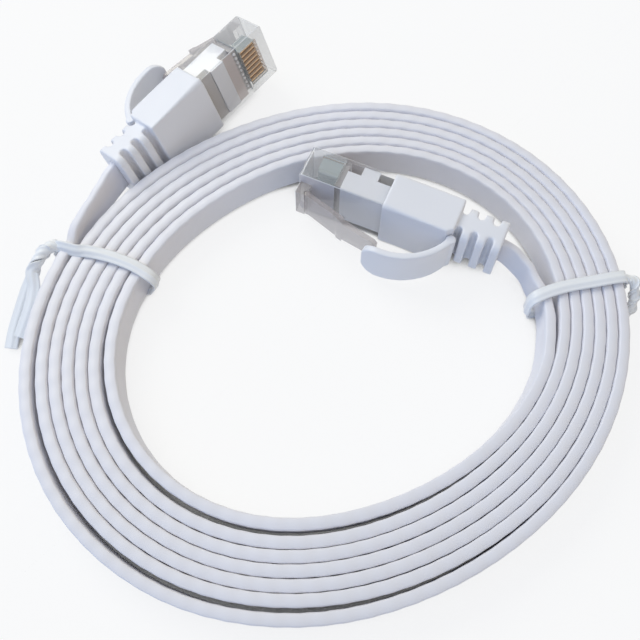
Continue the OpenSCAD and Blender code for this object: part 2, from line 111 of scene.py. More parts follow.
def finish_of(name, **fixed):
    """A material with one Principled surface. fixed holds the values that are the same all over."""
    material, tree = plain_material(name)
    shader = Shader(tree)
    surface = tree.nodes.new("ShaderNodeBsdfPrincipled")
    for key, value in fixed.items():
        surface.inputs[key.replace("_", " ")].default_value = value
    output = tree.nodes.new("ShaderNodeOutputMaterial")
    tree.links.new(surface.outputs[0], output.inputs["Surface"])
    return material, shader, surface


def feed(shader, surface, name, value):
    shader.tree.links.new(value.socket, surface.inputs[name])


def between(shader, share, colour, other):
    """A colour that goes from one to another with share."""
    return shader.node("ShaderNodeMix", {"data_type": "RGBA"}, {0: share, 6: (*colour, 1), 7: (*other, 1)}, out=2)


def in_view(shader):
    """1 where a thing is seen, mirrored or seen through plastic, and 0 for the light it throws."""
    rays = [shader.node("ShaderNodeLightPath", out=f"Is {kind} Ray") for kind in ("Camera", "Glossy", "Transmission")]
    return rays[0] + rays[1] + rays[2]


def new_piece(name, mesh):
    """An object made from a bmesh, which is then gone."""
    data = bpy.data.meshes.new(name)
    mesh.to_mesh(data)
    mesh.free()
    piece = bpy.data.objects.new(name, data)
    scene.collection.objects.link(piece)
    return piece


table_mesh = bmesh.new()
bmesh.ops.create_grid(table_mesh, x_segments=1, y_segments=1, size=4.0)
table_top = new_piece("table_top", table_mesh)

# White wherever it is seen, and plain pale paint for the light that it throws back. Where it is seen, an
# ambient-occlusion mask paints shade into its white glow, so only the deep gaps that it shows through are dark.
table_white, surface_tree = plain_material("table_white")
shader = Shader(surface_tree)
closed_in = shader.node("ShaderNodeAmbientOcclusion", {"samples": 12}, {"Distance": 0.007}, out="AO")
painted_gap_shade = shader.node("ShaderNodeMapRange", {"interpolation_type": "SMOOTHSTEP"},
                    {"Value": closed_in, "From Min": 0.10, "From Max": 0.42, "To Min": 0.02})
glow_with_painted_shade = shader.node("ShaderNodeEmission", {}, {"Color": painted_gap_shade, "Strength": 1.0})
paint = shader.node("ShaderNodeBsdfDiffuse", {}, {"Color": (0.86, 0.86, 0.86, 1)})
mixed = shader.node("ShaderNodeMixShader", {}, {0: in_view(shader) * 0.82, 1: paint, 2: glow_with_painted_shade})
shader.node("ShaderNodeOutputMaterial", {}, {"Surface": mixed})
table_top.data.materials.append(table_white)

# Light from the room: a direction and the colour that comes from there. Where the room itself is
# seen, mirrored or seen through plastic, it is a plain pale wall.
ROOM = [((0, 0, 1), (0.59, 0.66, 0.745)),
        ((-1, 0, 0), (0.03, 0.05, 0.21)),
        ((1, 0, 0), (0.22, 0.14, 0.03)),
        ((0, -1, 0), (0.09, 0.11, 0.17)),
        ((0, 1, 0), (0.02, 0.02, 0.02)),
        ((-0.707, -0.707, 0), (0.04, 0.16, 0.34)),
        ((0.707, -0.707, 0), (0.19, 0.12, 0.01))]
world = bpy.data.worlds.new("room")
world.use_nodes = True
world.node_tree.nodes.clear()
shader = Shader(world.node_tree)
looking = shader.node("ShaderNodeTexCoord", out="Generated")
glow = None
for towards, colour in ROOM:
    facing = shader.node("ShaderNodeVectorMath", {"operation": "DOT_PRODUCT"}, {0: looking, 1: towards}, out="Value")
    lobe = shader.node("ShaderNodeMath", {"operation": "MAXIMUM"}, {0: facing, 1: 0.0})
    part = shader.node("ShaderNodeVectorMath", {"operation": "SCALE"}, {0: colour, "Scale": lobe})
    glow = shader.node("ShaderNodeVectorMath", {"operation": "ADD"}, {0: glow, 1: part}) if glow else part
sky = shader.node("ShaderNodeBackground", {}, {"Color": glow})
far_wall = shader.node("ShaderNodeBackground", {}, {"Color": (0.93, 0.935, 0.94, 1)})
around = shader.node("ShaderNodeMixShader", {}, {0: in_view(shader), 1: sky, 2: far_wall})
shader.node("ShaderNodeOutputWorld", {}, {"Surface": around})
scene.world = world


def window(name, place, width, height, power, colour):
    """A soft rectangular light that faces the cable."""
    lamp = bpy.data.lights.new(name, "AREA")
    lamp.shape = "RECTANGLE"
    lamp.size = width
    lamp.size_y = height
    lamp.energy = power
    lamp.color = colour
    holder = bpy.data.objects.new(name, lamp)
    holder.location = place
    holder.rotation_mode = "QUATERNION"
    holder.rotation_quaternion = (-Vector(place)).to_track_quat("-Z", "Y")
    scene.collection.objects.link(holder)


window("window_left", (-0.42, 0.40, 0.50), 0.5, 0.5, 3.02, (1.0, 0.965, 0.82))

camera_data = bpy.data.cameras.new("camera")
camera_data.lens = 50.6
camera_data.sensor_width = 36
camera = bpy.data.objects.new("camera", camera_data)
camera.location = (0.23 * MM, -68.57 * MM, 150.4 * MM)
camera.rotation_mode = "QUATERNION"
camera.rotation_quaternion = (Vector((0.23 * MM, -3.17 * MM, 0)) - camera.location).to_track_quat("-Z", "Y")
camera_data.clip_start = 0.01
scene.collection.objects.link(camera)
scene.camera = camera

# ---- Flat cable ----
# Four twisted pairs side by side in one extruded flat jacket of soft white PVC. It stands on edge
# in six and a half turns, and a free stretch leads from each end of the coil into a boot. The
# jacket is drawn at its seen thickness, about 2 mm, and its CAD solid is thinner, at 1.45 mm, to
# keep its turns apart. The pairs press through it as low swells that rise and fall with their twist.
CABLE_W = 6.2
CABLE_T = 1.95
FULL_T = 2.14
TURN_GAP = 0.10
TURN_STEP, STEP_SWING, LOOSE_SIDE = 2.22, 0.26, 235
COIL_R, COIL_OVAL, LONG_AXIS = 49.8, 3.4, 28
COIL_MIDDLE = Vector((2.13, -7.97, 3.9))
COIL_TURNS = 6.5
COIL_START = 172
COIL_LEAN = 6
COIL_SAMPLE = 7.5
LINE_SAMPLE = 0.65
PLUG_A = ((-12.072, 52.6466, 9.09316), (48.5, 4.0, -17.0))
PLUG_B = ((-2.29817, 23.1439, 6.59112), (156.7, 0.5, 0.0))
EXIT_X = -38.3
INSIDE_X = (-17.65, -25.0, -32.0)


def plug_frame(plug):
    """The plug's own frame: X towards the nose, Y towards the latch, Z across the contacts."""
    place, (heading, pitch, roll) = plug
    turn = Matrix.Rotation(math.radians(heading), 4, "Z")
    tip = Matrix.Rotation(math.radians(-pitch), 4, "Y") @ Matrix.Rotation(math.radians(roll), 4, "X")
    return Matrix.Translation(Vector(place) * MM) @ turn @ tip


def turn_step(angle):
    """How far apart neighbouring turns lie in a direction, in millimetres."""
    return TURN_STEP + STEP_SWING * math.cos(math.radians(angle - LOOSE_SIDE))


def coil_line(angle, settled=False):
    """A point on the middle of the wound cable, in millimetres. Settled turns have slid together."""
    a = math.radians(angle)
    turn = (angle - COIL_START) / 360
    radius = COIL_R + COIL_OVAL * math.cos(2 * math.radians(angle - LONG_AXIS)) - turn_step(angle) * turn
    if settled:
        spare = max(0.0, turn_step(angle) - jacket_thickness(angle) - TURN_GAP)
        together = smooth_step((turn - 0.45) / 0.6) * smooth_step((6.0 - turn) / 0.6)
        radius += spare * (turn - 3.2) * together
    return COIL_MIDDLE + radius * Vector((math.cos(a), math.sin(a), 0))


def jacket_thickness(angle):
    """The jacket's thickness, drawn to nearly fill the step to the next turn."""
    return min(turn_step(angle) - TURN_GAP, FULL_T)


def smooth_step(x):
    x = max(0.0, min(1.0, x))
    return x * x * (3 - 2 * x)


def spline(points, k, f):
    """A point on the smooth line through points, at the share f of the way from point k to the next."""
    a, b, c, d = (points[max(0, min(i, len(points) - 1))] for i in (k - 1, k, k + 1, k + 2))
    return (2 * b + (c - a) * f + (2 * a - 5 * b + 4 * c - d) * f * f + (3 * b - a - 3 * c + d) * f ** 3) / 2


def along_plug(plug, x):
    """The point x millimetres along a plug's axis from its nose, in millimetres."""
    return plug_frame(plug) @ Vector((x * MM, 0, 0)) / MM


exit_a = along_plug(PLUG_A, EXIT_X)
exit_b = along_plug(PLUG_B, EXIT_X)
coil_end = COIL_START + 360 * COIL_TURNS
first = coil_line(COIL_START)
last = coil_line(coil_end)
route = [(along_plug(PLUG_A, x), 17.0) for x in INSIDE_X] + [(exit_a, 17.0)]
route += [(exit_a + Vector(q), lean) for q, lean in [((-3.45, -6.35, -0.5), 10), ((-6.2, -11.6, -1.3), 8)]]
route += [(first + Vector(q), lean) for q, lean in [((3.7, 10.2, 0.1), 7), ((2.1, 6.4, 0), 7)]]
wound_from = len(route)
wound_angles = [COIL_START + COIL_SAMPLE * i for i in range(int(360 / COIL_SAMPLE * COIL_TURNS) + 1)]
route += [(coil_line(angle, settled=True), COIL_LEAN) for angle in wound_angles]
thickness = [CABLE_T] * wound_from + [jacket_thickness(angle) for angle in wound_angles]
route += [(last + Vector(q), lean) for q, lean in [((1, 5, 0), 5), ((1.3, 8.8, 0.05), 4), ((0.8, 12.3, 0.08), 3)]]
route += [(exit_b + Vector(q), lean)
          for q, lean in [((5.8, -6.5, -2.3), 3), ((4.7, -4, -1.8), 2), ((2.6, -1.7, -0.9), 1)]]
route += [(exit_b, 0.0)] + [(along_plug(PLUG_B, x), 0.0) for x in reversed(INSIDE_X)]
thickness += [CABLE_T] * (len(route) - len(thickness))


def swept(name, rings, sizes_along=None):
    """A closed tube through rings of points, with a UV map that runs in metres along it and around it."""
    mesh = bmesh.new()
    uv = mesh.loops.layers.uv.new("along")
    rows = [[mesh.verts.new(p) for p in ring] for ring in rings]
    n = len(rows[0])
    for i in range(len(rows) - 1):
        for j in range(n):
            k = (j + 1) % n
            face = mesh.faces.new((rows[i][j], rows[i][k], rows[i + 1][k], rows[i + 1][j]))
            face.smooth = True
            if sizes_along:
                corners = ((i, j), (i, j + 1), (i + 1, j + 1), (i + 1, j))
                for loop, (row, column) in zip(face.loops, corners):
                    loop[uv].uv = (sizes_along[row], column / n)
    mesh.faces.new(rows[0][::-1])
    mesh.faces.new(rows[-1])
    bmesh.ops.recalc_face_normals(mesh, faces=mesh.faces)
    return new_piece(name, mesh)


# The middle line is sampled in short even steps, with the lean of the cable at each point
points = [p for p, lean in route]
leans = [lean for p, lean in route]
line = []
tilt = []
thick = []
for k in range(len(points) - 1):
    pieces = max(1, round((points[k + 1] - points[k]).length / LINE_SAMPLE))
    for j in range(pieces):
        f = j / pieces
        line.append(spline(points, k, f))
        tilt.append(leans[k] + (leans[k + 1] - leans[k]) * smooth_step(f))
        thick.append(thickness[k] + (thickness[k + 1] - thickness[k]) * f)
line.append(points[-1])
tilt.append(leans[-1])
thick.append(thickness[-1])
run = [0.0]
for a, b in zip(line, line[1:]):
    run.append(run[-1] + (b - a).length)
cable_length = run[-1]

# Soft waves left by handling, slow along the cable, and the four pairs with their own twist
waver = random.Random(7)
waves = [(waver.uniform(22, 75), waver.uniform(0, 6.28), waver.uniform(0.4, 1.0)) for _ in range(6)]
PAIRS = [(-2.2, 4.7, 0.4), (-0.74, 3.9, 2.1), (0.74, 4.3, 4.0), (2.2, 3.6, 5.2)]


def wave(s, which):
    return sum(w * math.sin(2 * math.pi * s / length + turn + which * 1.7) for length, turn, w in waves) / 3


def jacket_section(s, half_t):
    """The jacket's outline at distance s: across the thickness, then up the width, in millimetres."""
    corner = min(0.44, half_t * 0.6)
    half_w = CABLE_W / 2
    swell = [math.sin(2 * math.pi * s / twist + turn) for _, twist, turn in PAIRS]
    top = half_w + 0.04 * swell[3]
    low = -half_w
    outline = []
    for side in (1, -1):
        face = []
        for u in (-2.2, -1.47, -0.74, 0.0, 0.74, 1.47, 2.2):
            bulge = 0.0
            for (middle, _, _), w in zip(PAIRS, swell):
                bulge += math.exp(-((u - middle) / 0.42) ** 2) * (0.03 + 0.035 * side * w)
            face.append((side * (half_t - 0.03 + bulge), u))
        crown = half_t - 0.02 + 0.018 * side * swell[3]
        for a in (20, 45, 70):
            face.append((side * (crown - corner + corner * math.cos(math.radians(a))),
                         top - corner + corner * math.sin(math.radians(a))))
        keel = half_t - 0.02 + 0.018 * side * swell[0]
        foot = [(side * (keel - corner + corner * math.cos(math.radians(a))),
                 low + corner - corner * math.sin(math.radians(a))) for a in (70, 45, 20)]
        face = foot + face
        outline += face if side == 1 else face[::-1]
    return outline


rings = []
for i, (p, lean) in enumerate(zip(line, tilt)):
    heading = (line[min(i + 1, len(line) - 1)] - line[max(i - 1, 0)]).normalized()
    out = heading.cross(Vector((0, 0, 1))).normalized()
    s = run[i]
    free = smooth_step((s - 26) / 14) * smooth_step((cable_length - s - 26) / 14)
    leaning = math.radians(lean + 0.8 * free * wave(s, 1))
    tall = Vector((0, 0, 1)) + out * math.tan(leaning)
    up = (tall - heading * tall.dot(heading)).normalized()
    side = heading.cross(up)
    half_t = 0.74 + (thick[i] / 2 - 0.74) * free
    place = p + Vector((0, 0, 0.09 * free * (1 + wave(s, 0)))) + out * 0.02 * free * wave(s, 2)
    rings.append([(place + side * q[0] + up * q[1]) * MM for q in jacket_section(s, half_t)])
flat_cable = swept("flat_cable", rings, [s * MM for s in run])


def soft_plastic(name, colour, shade, grain, rough):
    """Moulded or extruded soft PVC: a slight cloudiness in the colour, a fine skin, and handling marks."""
    material, shader, surface = finish_of(name, Roughness=rough, IOR=1.5)
    place = shader.node("ShaderNodeTexCoord", out="Object")
    cloud = shader.node("ShaderNodeTexNoise", {}, {"Vector": place, "Scale": 55.0, "Detail": 3.0})
    feed(shader, surface, "Base Color", between(shader, (cloud - 0.35) * 2.2, colour, shade))
    skin = shader.node("ShaderNodeTexNoise", {}, {"Vector": place, "Scale": grain, "Detail": 2.0})
    marks = shader.node("ShaderNodeTexNoise", {}, {"Vector": place, "Scale": 320.0, "Detail": 4.0})
    feed(shader, surface, "Roughness", (marks - 0.5) * 0.16 + rough)
    relief = shader.node("ShaderNodeBump", {}, {"Height": skin * 0.6 + marks * 0.4, "Strength": 0.10,
                                                "Distance": 0.0002})
    feed(shader, surface, "Normal", relief)
    return material


jacket_white = soft_plastic("jacket_white", (0.83, 0.82, 0.86), (0.79, 0.775, 0.80), 2600.0, 0.42)
flat_cable.data.materials.append(jacket_white)
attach(flat_cable, "cable")
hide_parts("lead_a", "coil", "lead_b")

# ---- Twist ties ----
# Each tie is a flat strip of pale plastic with a steel wire along its middle. It is bent once
# round all the turns and closed by twisting its two ends together outside the coil.
TIE_W = 2.3
WIRE_T = 0.74
FOIL_T = 0.3


def strip_section(width, wing, wire):
    """The strip's outline: across its width, then its thickness, in millimetres."""
    half = width / 2
    upper = [(-half, wing / 2), (-half * 0.72, wing / 2), (-wire * 0.62, wing / 2 + 0.03), (-wire * 0.36, wire * 0.42),
             (0, wire / 2), (wire * 0.36, wire * 0.42), (wire * 0.62, wing / 2 + 0.03), (half * 0.72, wing / 2),
             (half, wing / 2)]
    return upper + [(u, -v) for u, v in reversed(upper)]


def strip(name, centre, widths, section):
    """A strip along the points of centre, with its width along the direction given at each of them."""
    rings = []
    for i, p in enumerate(centre):
        heading = (centre[min(i + 1, len(centre) - 1)] - centre[max(i - 1, 0)]).normalized()
        wide = (widths[i] - heading * widths[i].dot(heading)).normalized()
        thick = heading.cross(wide)
        rings.append([(p + wide * q[0] + thick * q[1]) * MM for q in section])
    return swept(name, rings)


def loop_of(name, knots, square_to):
    """The band of a tie round the turns. knots are x, y and z in millimetres and the strip's roll in degrees."""
    square = math.radians(square_to)
    across = Vector((-math.sin(square), math.cos(square), 0))
    places = [Vector(k[:3]) for k in knots]
    centre, widths = [], []
    for k in range(len(knots) - 1):
        for j in range(8):
            roll = knots[k][3] + (knots[k + 1][3] - knots[k][3]) * smooth_step(j / 8)
            heading = (spline(places, k, j / 8 + 0.02) - spline(places, k, j / 8)).normalized()
            centre.append(spline(places, k, j / 8))
            widths.append(Matrix.Rotation(math.radians(roll), 3, heading) @ across)
    return strip(name, centre, widths, strip_section(TIE_W, FOIL_T, WIRE_T))


def twisted_end(name, knots, start, wound, turns, spread=0.0):
    """One end of a tie: wound round the other end for a few steps along a line, then lying flat."""
    n = len(knots) - 1
    steps = 22 * n
    centre, widths = [], []
    for i in range(steps):
        s = i * n / steps
        p = spline(knots, int(s), s - int(s))
        q = spline(knots, min(int(s + 0.04), n - 1), s + 0.04 - min(int(s + 0.04), n - 1))
        heading = (q - p).normalized()
        a = heading.cross(Vector((0, 0, 1))).normalized()
        b = heading.cross(a)
        w = math.radians(start) + 2 * math.pi * turns * min(s / wound, 1)
        aside = a * math.cos(w) + b * math.sin(w)
        centre.append(p + aside * (0.44 + spread * smooth_step(s / 1.2) * smooth_step(wound - s)))
        widths.append(heading.cross(aside))
    return strip(name, centre, widths, strip_section(TIE_W, FOIL_T, WIRE_T))


def joined(name, parts):
    """One piece from several, which are then gone."""
    mesh = bmesh.new()
    for part in parts:
        mesh.from_mesh(part.data)
        bpy.data.objects.remove(part)
    return new_piece(name, mesh)


left_band = loop_of("left_band", [
    (-47.4, 8.3, 5.8, 50), (-46.6, 8.1, 7.25, 55), (-43.7, 7.1, 7.6, 45), (-41.4, 6.9, 7.65, 20), (-38.0, 6.1, 7.65, 4),
    (-34.5, 4.8, 7.65, 0), (-32.2, 3.65, 7.6, 0), (-29.9, 2.2, 7.2, -6), (-28.9, 1.6, 5.9, -6), (-29.4, 1.7, 4.0, 0),
    (-30.6, 2.2, 1.6, 0), (-32.6, 3.2, 0.5, 0), (-39.0, 5.9, 0.42, 0), (-44.5, 8.0, 0.5, 0), (-46.6, 8.6, 1.3, 0),
    (-47.7, 8.9, 3.4, 0), (-47.6, 8.6, 5.4, 0)], 156)
left_knot = [(-47.0, 8.3, 6.3), (-48.1, 8.4, 6.7), (-49.4, 7.6, 6.5), (-50.6, 5.9, 6.0), (-51.5, 4.0, 5.2)]
long_tail = [(-52.7, 1.4, 4.0), (-53.8, -2.3, 2.8), (-54.7, -5.9, 1.8), (-55.1, -9.2, 1.1)]
short_tail = [(-51.2, 1.2, 4.1), (-51.7, -2.3, 3.2), (-52.6, -5.2, 2.3), (-53.3, -7.4, 1.6)]
left_tie = joined("left_tie", [left_band] + [
    twisted_end(f"left_end_{start}", [Vector(k) for k in left_knot + tail], start, 4.0, 1.25, 0.34)
    for start, tail in ((0, long_tail), (180, short_tail))])

right_band = loop_of("right_band", [
    (54.7, 2.2, 5.9, 0), (54.3, 2.1, 7.2, 0), (51.4, 1.5, 7.65, 0), (48.4, 0.9, 7.65, 0), (44.2, 0.1, 7.65, 0),
    (40.6, -0.95, 7.6, 0), (38.2, -1.9, 7.25, 0), (37.3, -2.3, 6.0, 0), (37.3, -2.4, 4.0, 0), (37.5, -2.25, 1.6, 0),
    (39.0, -1.75, 0.5, 0), (46.0, 0.2, 0.42, 0), (52.0, 1.6, 0.5, 0), (54.1, 2.1, 1.4, 0), (54.8, 2.3, 3.4, 0),
    (54.9, 2.2, 5.2, 0)], 9)
right_knot = [(54.9, 2.2, 6.2), (56.1, 1.6, 5.9), (56.5, 0.3, 4.8), (56.4, -1.1, 3.7), (55.9, -2.3, 2.8),
              (55.0, -3.2, 2.2)]
right_tie = joined("right_tie", [right_band] + [
    twisted_end(f"right_end_{start}", [Vector(k) for k in right_knot], start, 4.5, 1.5) for start in (0, 180)])

tie_white = soft_plastic("tie_white", (0.88, 0.89, 0.90), (0.83, 0.84, 0.85), 1800.0, 0.33)
for tie, node in ((left_tie, "tie_left"), (right_tie, "tie_right")):
    tie.data.materials.append(tie_white)
    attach(tie, "cable")
    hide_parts(node)

# ---- Clear plug housing ----
# One moulding of clear polycarbonate on each end: a hollow block with eight slots for the blades,
# and at the nose a small block that carries the spring latch. Its edges are barely broken.


def moulded(node, name, width, segments, sharp=30.0, keep=None, cuts=(), fit=None, shape=None, choose=None, rim=None):
    """A finished copy of a solid: merged, flat faces made whole, and its sharp edges rounded.

    keep picks the edges to round, cuts are planes that divide its faces, fit moves points, shape works
    on the mesh, choose gives a face its material's number and rim does that for a rounded edge.
    """
    mesh = bmesh.new()
    mesh.from_mesh(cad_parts[node].data)
    bmesh.ops.remove_doubles(mesh, verts=mesh.verts, dist=1e-6)
    bmesh.ops.dissolve_limit(mesh, angle_limit=math.radians(1.0), verts=mesh.verts, edges=mesh.edges)
    for place, square in cuts:
        bmesh.ops.bisect_plane(mesh, geom=mesh.verts[:] + mesh.edges[:] + mesh.faces[:], dist=1e-7,
                               plane_co=place, plane_no=square)
    for vert in mesh.verts if fit else []:
        vert.co = fit(vert.co)
    if shape:
        shape(mesh)
    for face in mesh.faces if choose else []:
        face.material_index = choose(face)
    edges = [e for e in mesh.edges if len(e.link_faces) == 2 and e.calc_face_angle(0) > math.radians(sharp)]
    if keep:
        edges = [e for e in edges if keep(e)]
    bmesh.ops.bevel(mesh, geom=edges, offset=width * MM, segments=segments, profile=0.5, affect="EDGES",
                    clamp_overlap=True, material=1 if keep else -1)
    for face in mesh.faces if rim else []:
        if face.material_index == 1:
            face.material_index = rim(face)
    bmesh.ops.triangulate(mesh, faces=[f for f in mesh.faces if len(f.verts) > 4])
    for face in mesh.faces:
        face.smooth = True
    for edge in mesh.edges:
        edge.smooth = not (len(edge.link_faces) == 2 and edge.calc_face_angle(0) > math.radians(50))
    piece = new_piece(name, mesh)
    tidy = piece.modifiers.new("even_normals", "WEIGHTED_NORMAL")
    tidy.keep_sharp = True
    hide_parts(node)
    return piece


def clear_plastic(name, colour, haze, edge, rough, uneven=0.15):
    """Clear moulded plastic: a thin haze face on, closing towards its edges, under a full gloss."""
    material, shader, surface = finish_of(name, Roughness=rough, IOR=1.5)
    place = shader.node("ShaderNodeTexCoord", out="Object")
    flow = shader.node("ShaderNodeTexNoise", {}, {"Vector": place, "Scale": 420.0, "Detail": 2.0})
    relief = shader.node("ShaderNodeBump", {}, {"Height": flow, "Strength": uneven, "Distance": 0.0001})
    feed(shader, surface, "Normal", relief)
    feed(shader, surface, "Base Color", between(shader, flow, colour, [c * 0.86 for c in colour]))
    tree = shader.tree
    slant = shader.node("ShaderNodeLayerWeight", {}, {"Blend": 0.5}, out="Facing")
    open_part = tree.nodes.new("ShaderNodeBsdfTransparent")
    film = tree.nodes.new("ShaderNodeMixShader")
    tree.links.new((slant ** 4 * edge + haze).socket, film.inputs["Fac"])
    tree.links.new(open_part.outputs[0], film.inputs[1])
    tree.links.new(surface.outputs[0], film.inputs[2])
    gloss = tree.nodes.new("ShaderNodeBsdfGlossy")
    gloss.inputs["Roughness"].default_value = rough
    tree.links.new(relief.socket, gloss.inputs["Normal"])
    both = tree.nodes.new("ShaderNodeMixShader")
    tree.links.new((slant ** 5 * 0.9 + 0.03).socket, both.inputs["Fac"])
    tree.links.new(film.outputs[0], both.inputs[1])
    tree.links.new(gloss.outputs[0], both.inputs[2])
    output = next(n for n in tree.nodes if n.type == "OUTPUT_MATERIAL")
    tree.links.new(both.outputs[0], output.inputs["Surface"])
    return material


clear = clear_plastic("clear_plastic", (0.82, 0.80, 0.80), 0.025, 0.5, 0.06)
# Bright film on the rounded edges of housing and latch: a painted highlight line.
rim_painted_highlight = clear_plastic("rim_painted_highlight", (0.95, 0.95, 0.96), 0.75, 0.2, 0.08, 0.9)
# Amber film on the slot walls: a painted reflection of the gold blades.
slot_painted_gold_reflection = clear_plastic("slot_painted_gold_reflection", (0.58, 0.41, 0.28), 0.55, 0.3, 0.10)
# Grey-green film on the channel walls: painted shade in the channels.
channel_painted_shade = clear_plastic("channel_painted_shade", (0.47, 0.52, 0.52), 0.85, 0.1, 0.12)
nose_clear = clear_plastic("nose_clear", (0.76, 0.78, 0.77), 0.22, 0.5, 0.05, 0.5)
# Pink-brown film on the contact wall in front of the tab pocket: a painted reflection of the gold blades.
wall_painted_gold_reflection = clear_plastic("wall_painted_gold_reflection", (0.66, 0.58, 0.555), 0.88, 0.1, 0.12)
# Grey film on the contact wall behind the tab pocket: painted shade in the recess.
wall_painted_shade = clear_plastic("wall_painted_shade", (0.60, 0.565, 0.545), 0.88, 0.1, 0.12)
# Pale lilac film on the nose's faces towards the latch: painted light.
nose_painted_light = clear_plastic("nose_painted_light", (0.82, 0.78, 0.82), 0.66, 0.2, 0.05)
# Dark film on the housing's rounded edges that face along the plug: painted shade.
rim_painted_shade = clear_plastic("rim_painted_shade", (0.36, 0.37, 0.40), 0.65, 0.3, 0.08)
latch_clear = clear_plastic("latch_clear", (0.50, 0.44, 0.43), 0.42, 0.5, 0.05)
# Dark film on the latch's rounded edges away from its outer side: painted shade.
latch_painted_shade = clear_plastic("latch_painted_shade", (0.16, 0.14, 0.18), 0.85, 0.1, 0.08)
CONTACT_PITCH = 1.02
PLUG_W = 11.68
PLUG_T = 6.5
CHANNEL_L = 6.6
CAVITY_W = PLUG_W - 1.7
CAVITY_T = PLUG_T - 1.7
THINNER = 0.40
TAB_X = (-10.3, -13.5)
TAB_SUNK = 0.32

# The clear plastics of a housing, by the number of their slot
CLEAR, EDGE_HIGHLIGHT_PAINTED, SLOT, CHANNEL, NOSE, WALL_REFLECTION_PAINTED, WALL_SHADE_PAINTED, NOSE_LIGHT_PAINTED, ROOT, EDGE_SHADE_PAINTED = range(10)


def wider(z):
    """How far a side of a blade or of its slot is moved, for blades that look half as thick again."""
    middle = (round(z / CONTACT_PITCH - 0.5) + 0.5) * CONTACT_PITCH
    return 0.5 * (z - middle) if 0.1 < abs(z - middle) < 0.25 else 0.0


plug_pieces = {"a": [], "b": []}
for end, plug in (("a", PLUG_A), ("b", PLUG_B)):
    whole = plug_frame(plug)
    own = whole.inverted()

    def outside(edge, own=own):
        """True on the outer edges of the housing, which are the ones that are rounded."""
        p = own @ ((edge.verts[0].co + edge.verts[1].co) / 2) / MM
        return abs(p.z) > 5.5 or (p.x > -0.3 and abs(p.y) > 3.0)

    def thin_wall(point, whole=whole, own=own):
        """The hollow rear with its walls drawn down to what such a plug has round a large insert."""
        p = own @ point / MM
        if p.x < -CHANNEL_L + 0.05 and abs(p.z) < CAVITY_W / 2 + 0.05 and abs(p.y) < CAVITY_T / 2 + 0.05:
            p.z += math.copysign(THINNER, p.z) if abs(p.z) > CAVITY_W / 2 - 0.1 else 0.0
            p.y += math.copysign(THINNER, p.y) if abs(p.y) > CAVITY_T / 2 - 0.1 else 0.0
        elif -6.4 < p.x < -2.0 and p.y < -0.2 and abs(p.z) < 4.0:
            p.z += wider(p.z)
        return whole @ (p * MM)

    def tab_pocket(mesh, whole=whole, own=own):
        """A shallow pocket in the contact wall, for the insert's locking tab."""
        faces = [f for f in mesh.faces if abs((own @ f.calc_center_median()).y / MM + CAVITY_T / 2 + THINNER) < 0.05
                 and TAB_X[1] < (own @ f.calc_center_median()).x / MM < TAB_X[0]]
        sunk = bmesh.ops.extrude_face_region(mesh, geom=faces)["geom"]
        bmesh.ops.delete(mesh, geom=faces, context="FACES_ONLY")
        bmesh.ops.translate(mesh, verts=[v for v in sunk if isinstance(v, bmesh.types.BMVert)],
                            vec=whole.to_3x3() @ Vector((0, -TAB_SUNK * MM, 0)))

    def part_of(face, own=own):
        """Which clear plastic a face shows: slots get a painted reflection of their gold blades, channels painted
        shade, the contact wall a painted gold reflection and painted shade, the nose's latch face painted light, and so
        on.
        """
        p = own @ face.calc_center_median() / MM
        if abs(p.x + CHANNEL_L) < 0.05:
            return CHANNEL
        if -CHANNEL_L < p.x < -0.6 and abs(p.z) < 4.5 and abs(p.y) < 3.2:
            return SLOT if p.x > -6.35 and p.y < -0.3 and abs(p.z) < 3.6 else CHANNEL
        if abs(p.y + CAVITY_T / 2 + THINNER) < 0.05 and abs(p.z) < 5.0:
            # On the contact wall: a painted gold reflection in front of the tab pocket, and painted shade behind it.
            return WALL_REFLECTION_PAINTED if TAB_X[0] < p.x < -7.9 else WALL_SHADE_PAINTED if p.x < TAB_X[1] else CLEAR
        if p.y > PLUG_T / 2 + 0.1:
            return ROOT
        if p.x > -6.9:
            # The nose's faces towards the latch take painted light.
            return NOSE_LIGHT_PAINTED if (own.to_3x3() @ face.normal).y > 0.9 else NOSE
        return CLEAR

    def housing_edge(face, own=own):
        """Its rounded edges get a painted highlight line, and painted shade where the bevel faces along the plug."""
        n = own.to_3x3() @ face.normal
        return EDGE_SHADE_PAINTED if abs(n.x) > 0.75 else EDGE_HIGHLIGHT_PAINTED

    def latch_edge(face, own=own):
        """The latch's rounded edges get a painted highlight on its outer side and painted shade elsewhere."""
        n = own.to_3x3() @ face.normal
        return 1 if n.y > abs(n.z) and n.y > 0.3 else 2

    divide = [(whole @ Vector((x * MM, 0, 0)), whole.to_3x3() @ Vector((1, 0, 0))) for x in (-6.9, -7.9, *TAB_X)]
    housing = moulded(f"housing_{end}", f"clear_housing_{end}", 0.16, 2, keep=outside, cuts=divide, fit=thin_wall,
                      shape=tab_pocket, choose=part_of, rim=housing_edge)
    latch = moulded(f"latch_{end}", f"clear_latch_{end}", 0.26, 2, keep=lambda edge: True, rim=latch_edge)
    for piece, body, plastics in (
            (housing, "cable", (clear, rim_painted_highlight, slot_painted_gold_reflection, channel_painted_shade, nose_clear, wall_painted_gold_reflection, wall_painted_shade,
                                nose_painted_light, latch_clear, rim_painted_shade)),
            (latch, f"latch_{end}", (latch_clear, rim_painted_highlight, latch_painted_shade))):
        for plastic in plastics:
            piece.data.materials.append(plastic)
        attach(piece, body)
    plug_pieces[end] += [housing, latch]

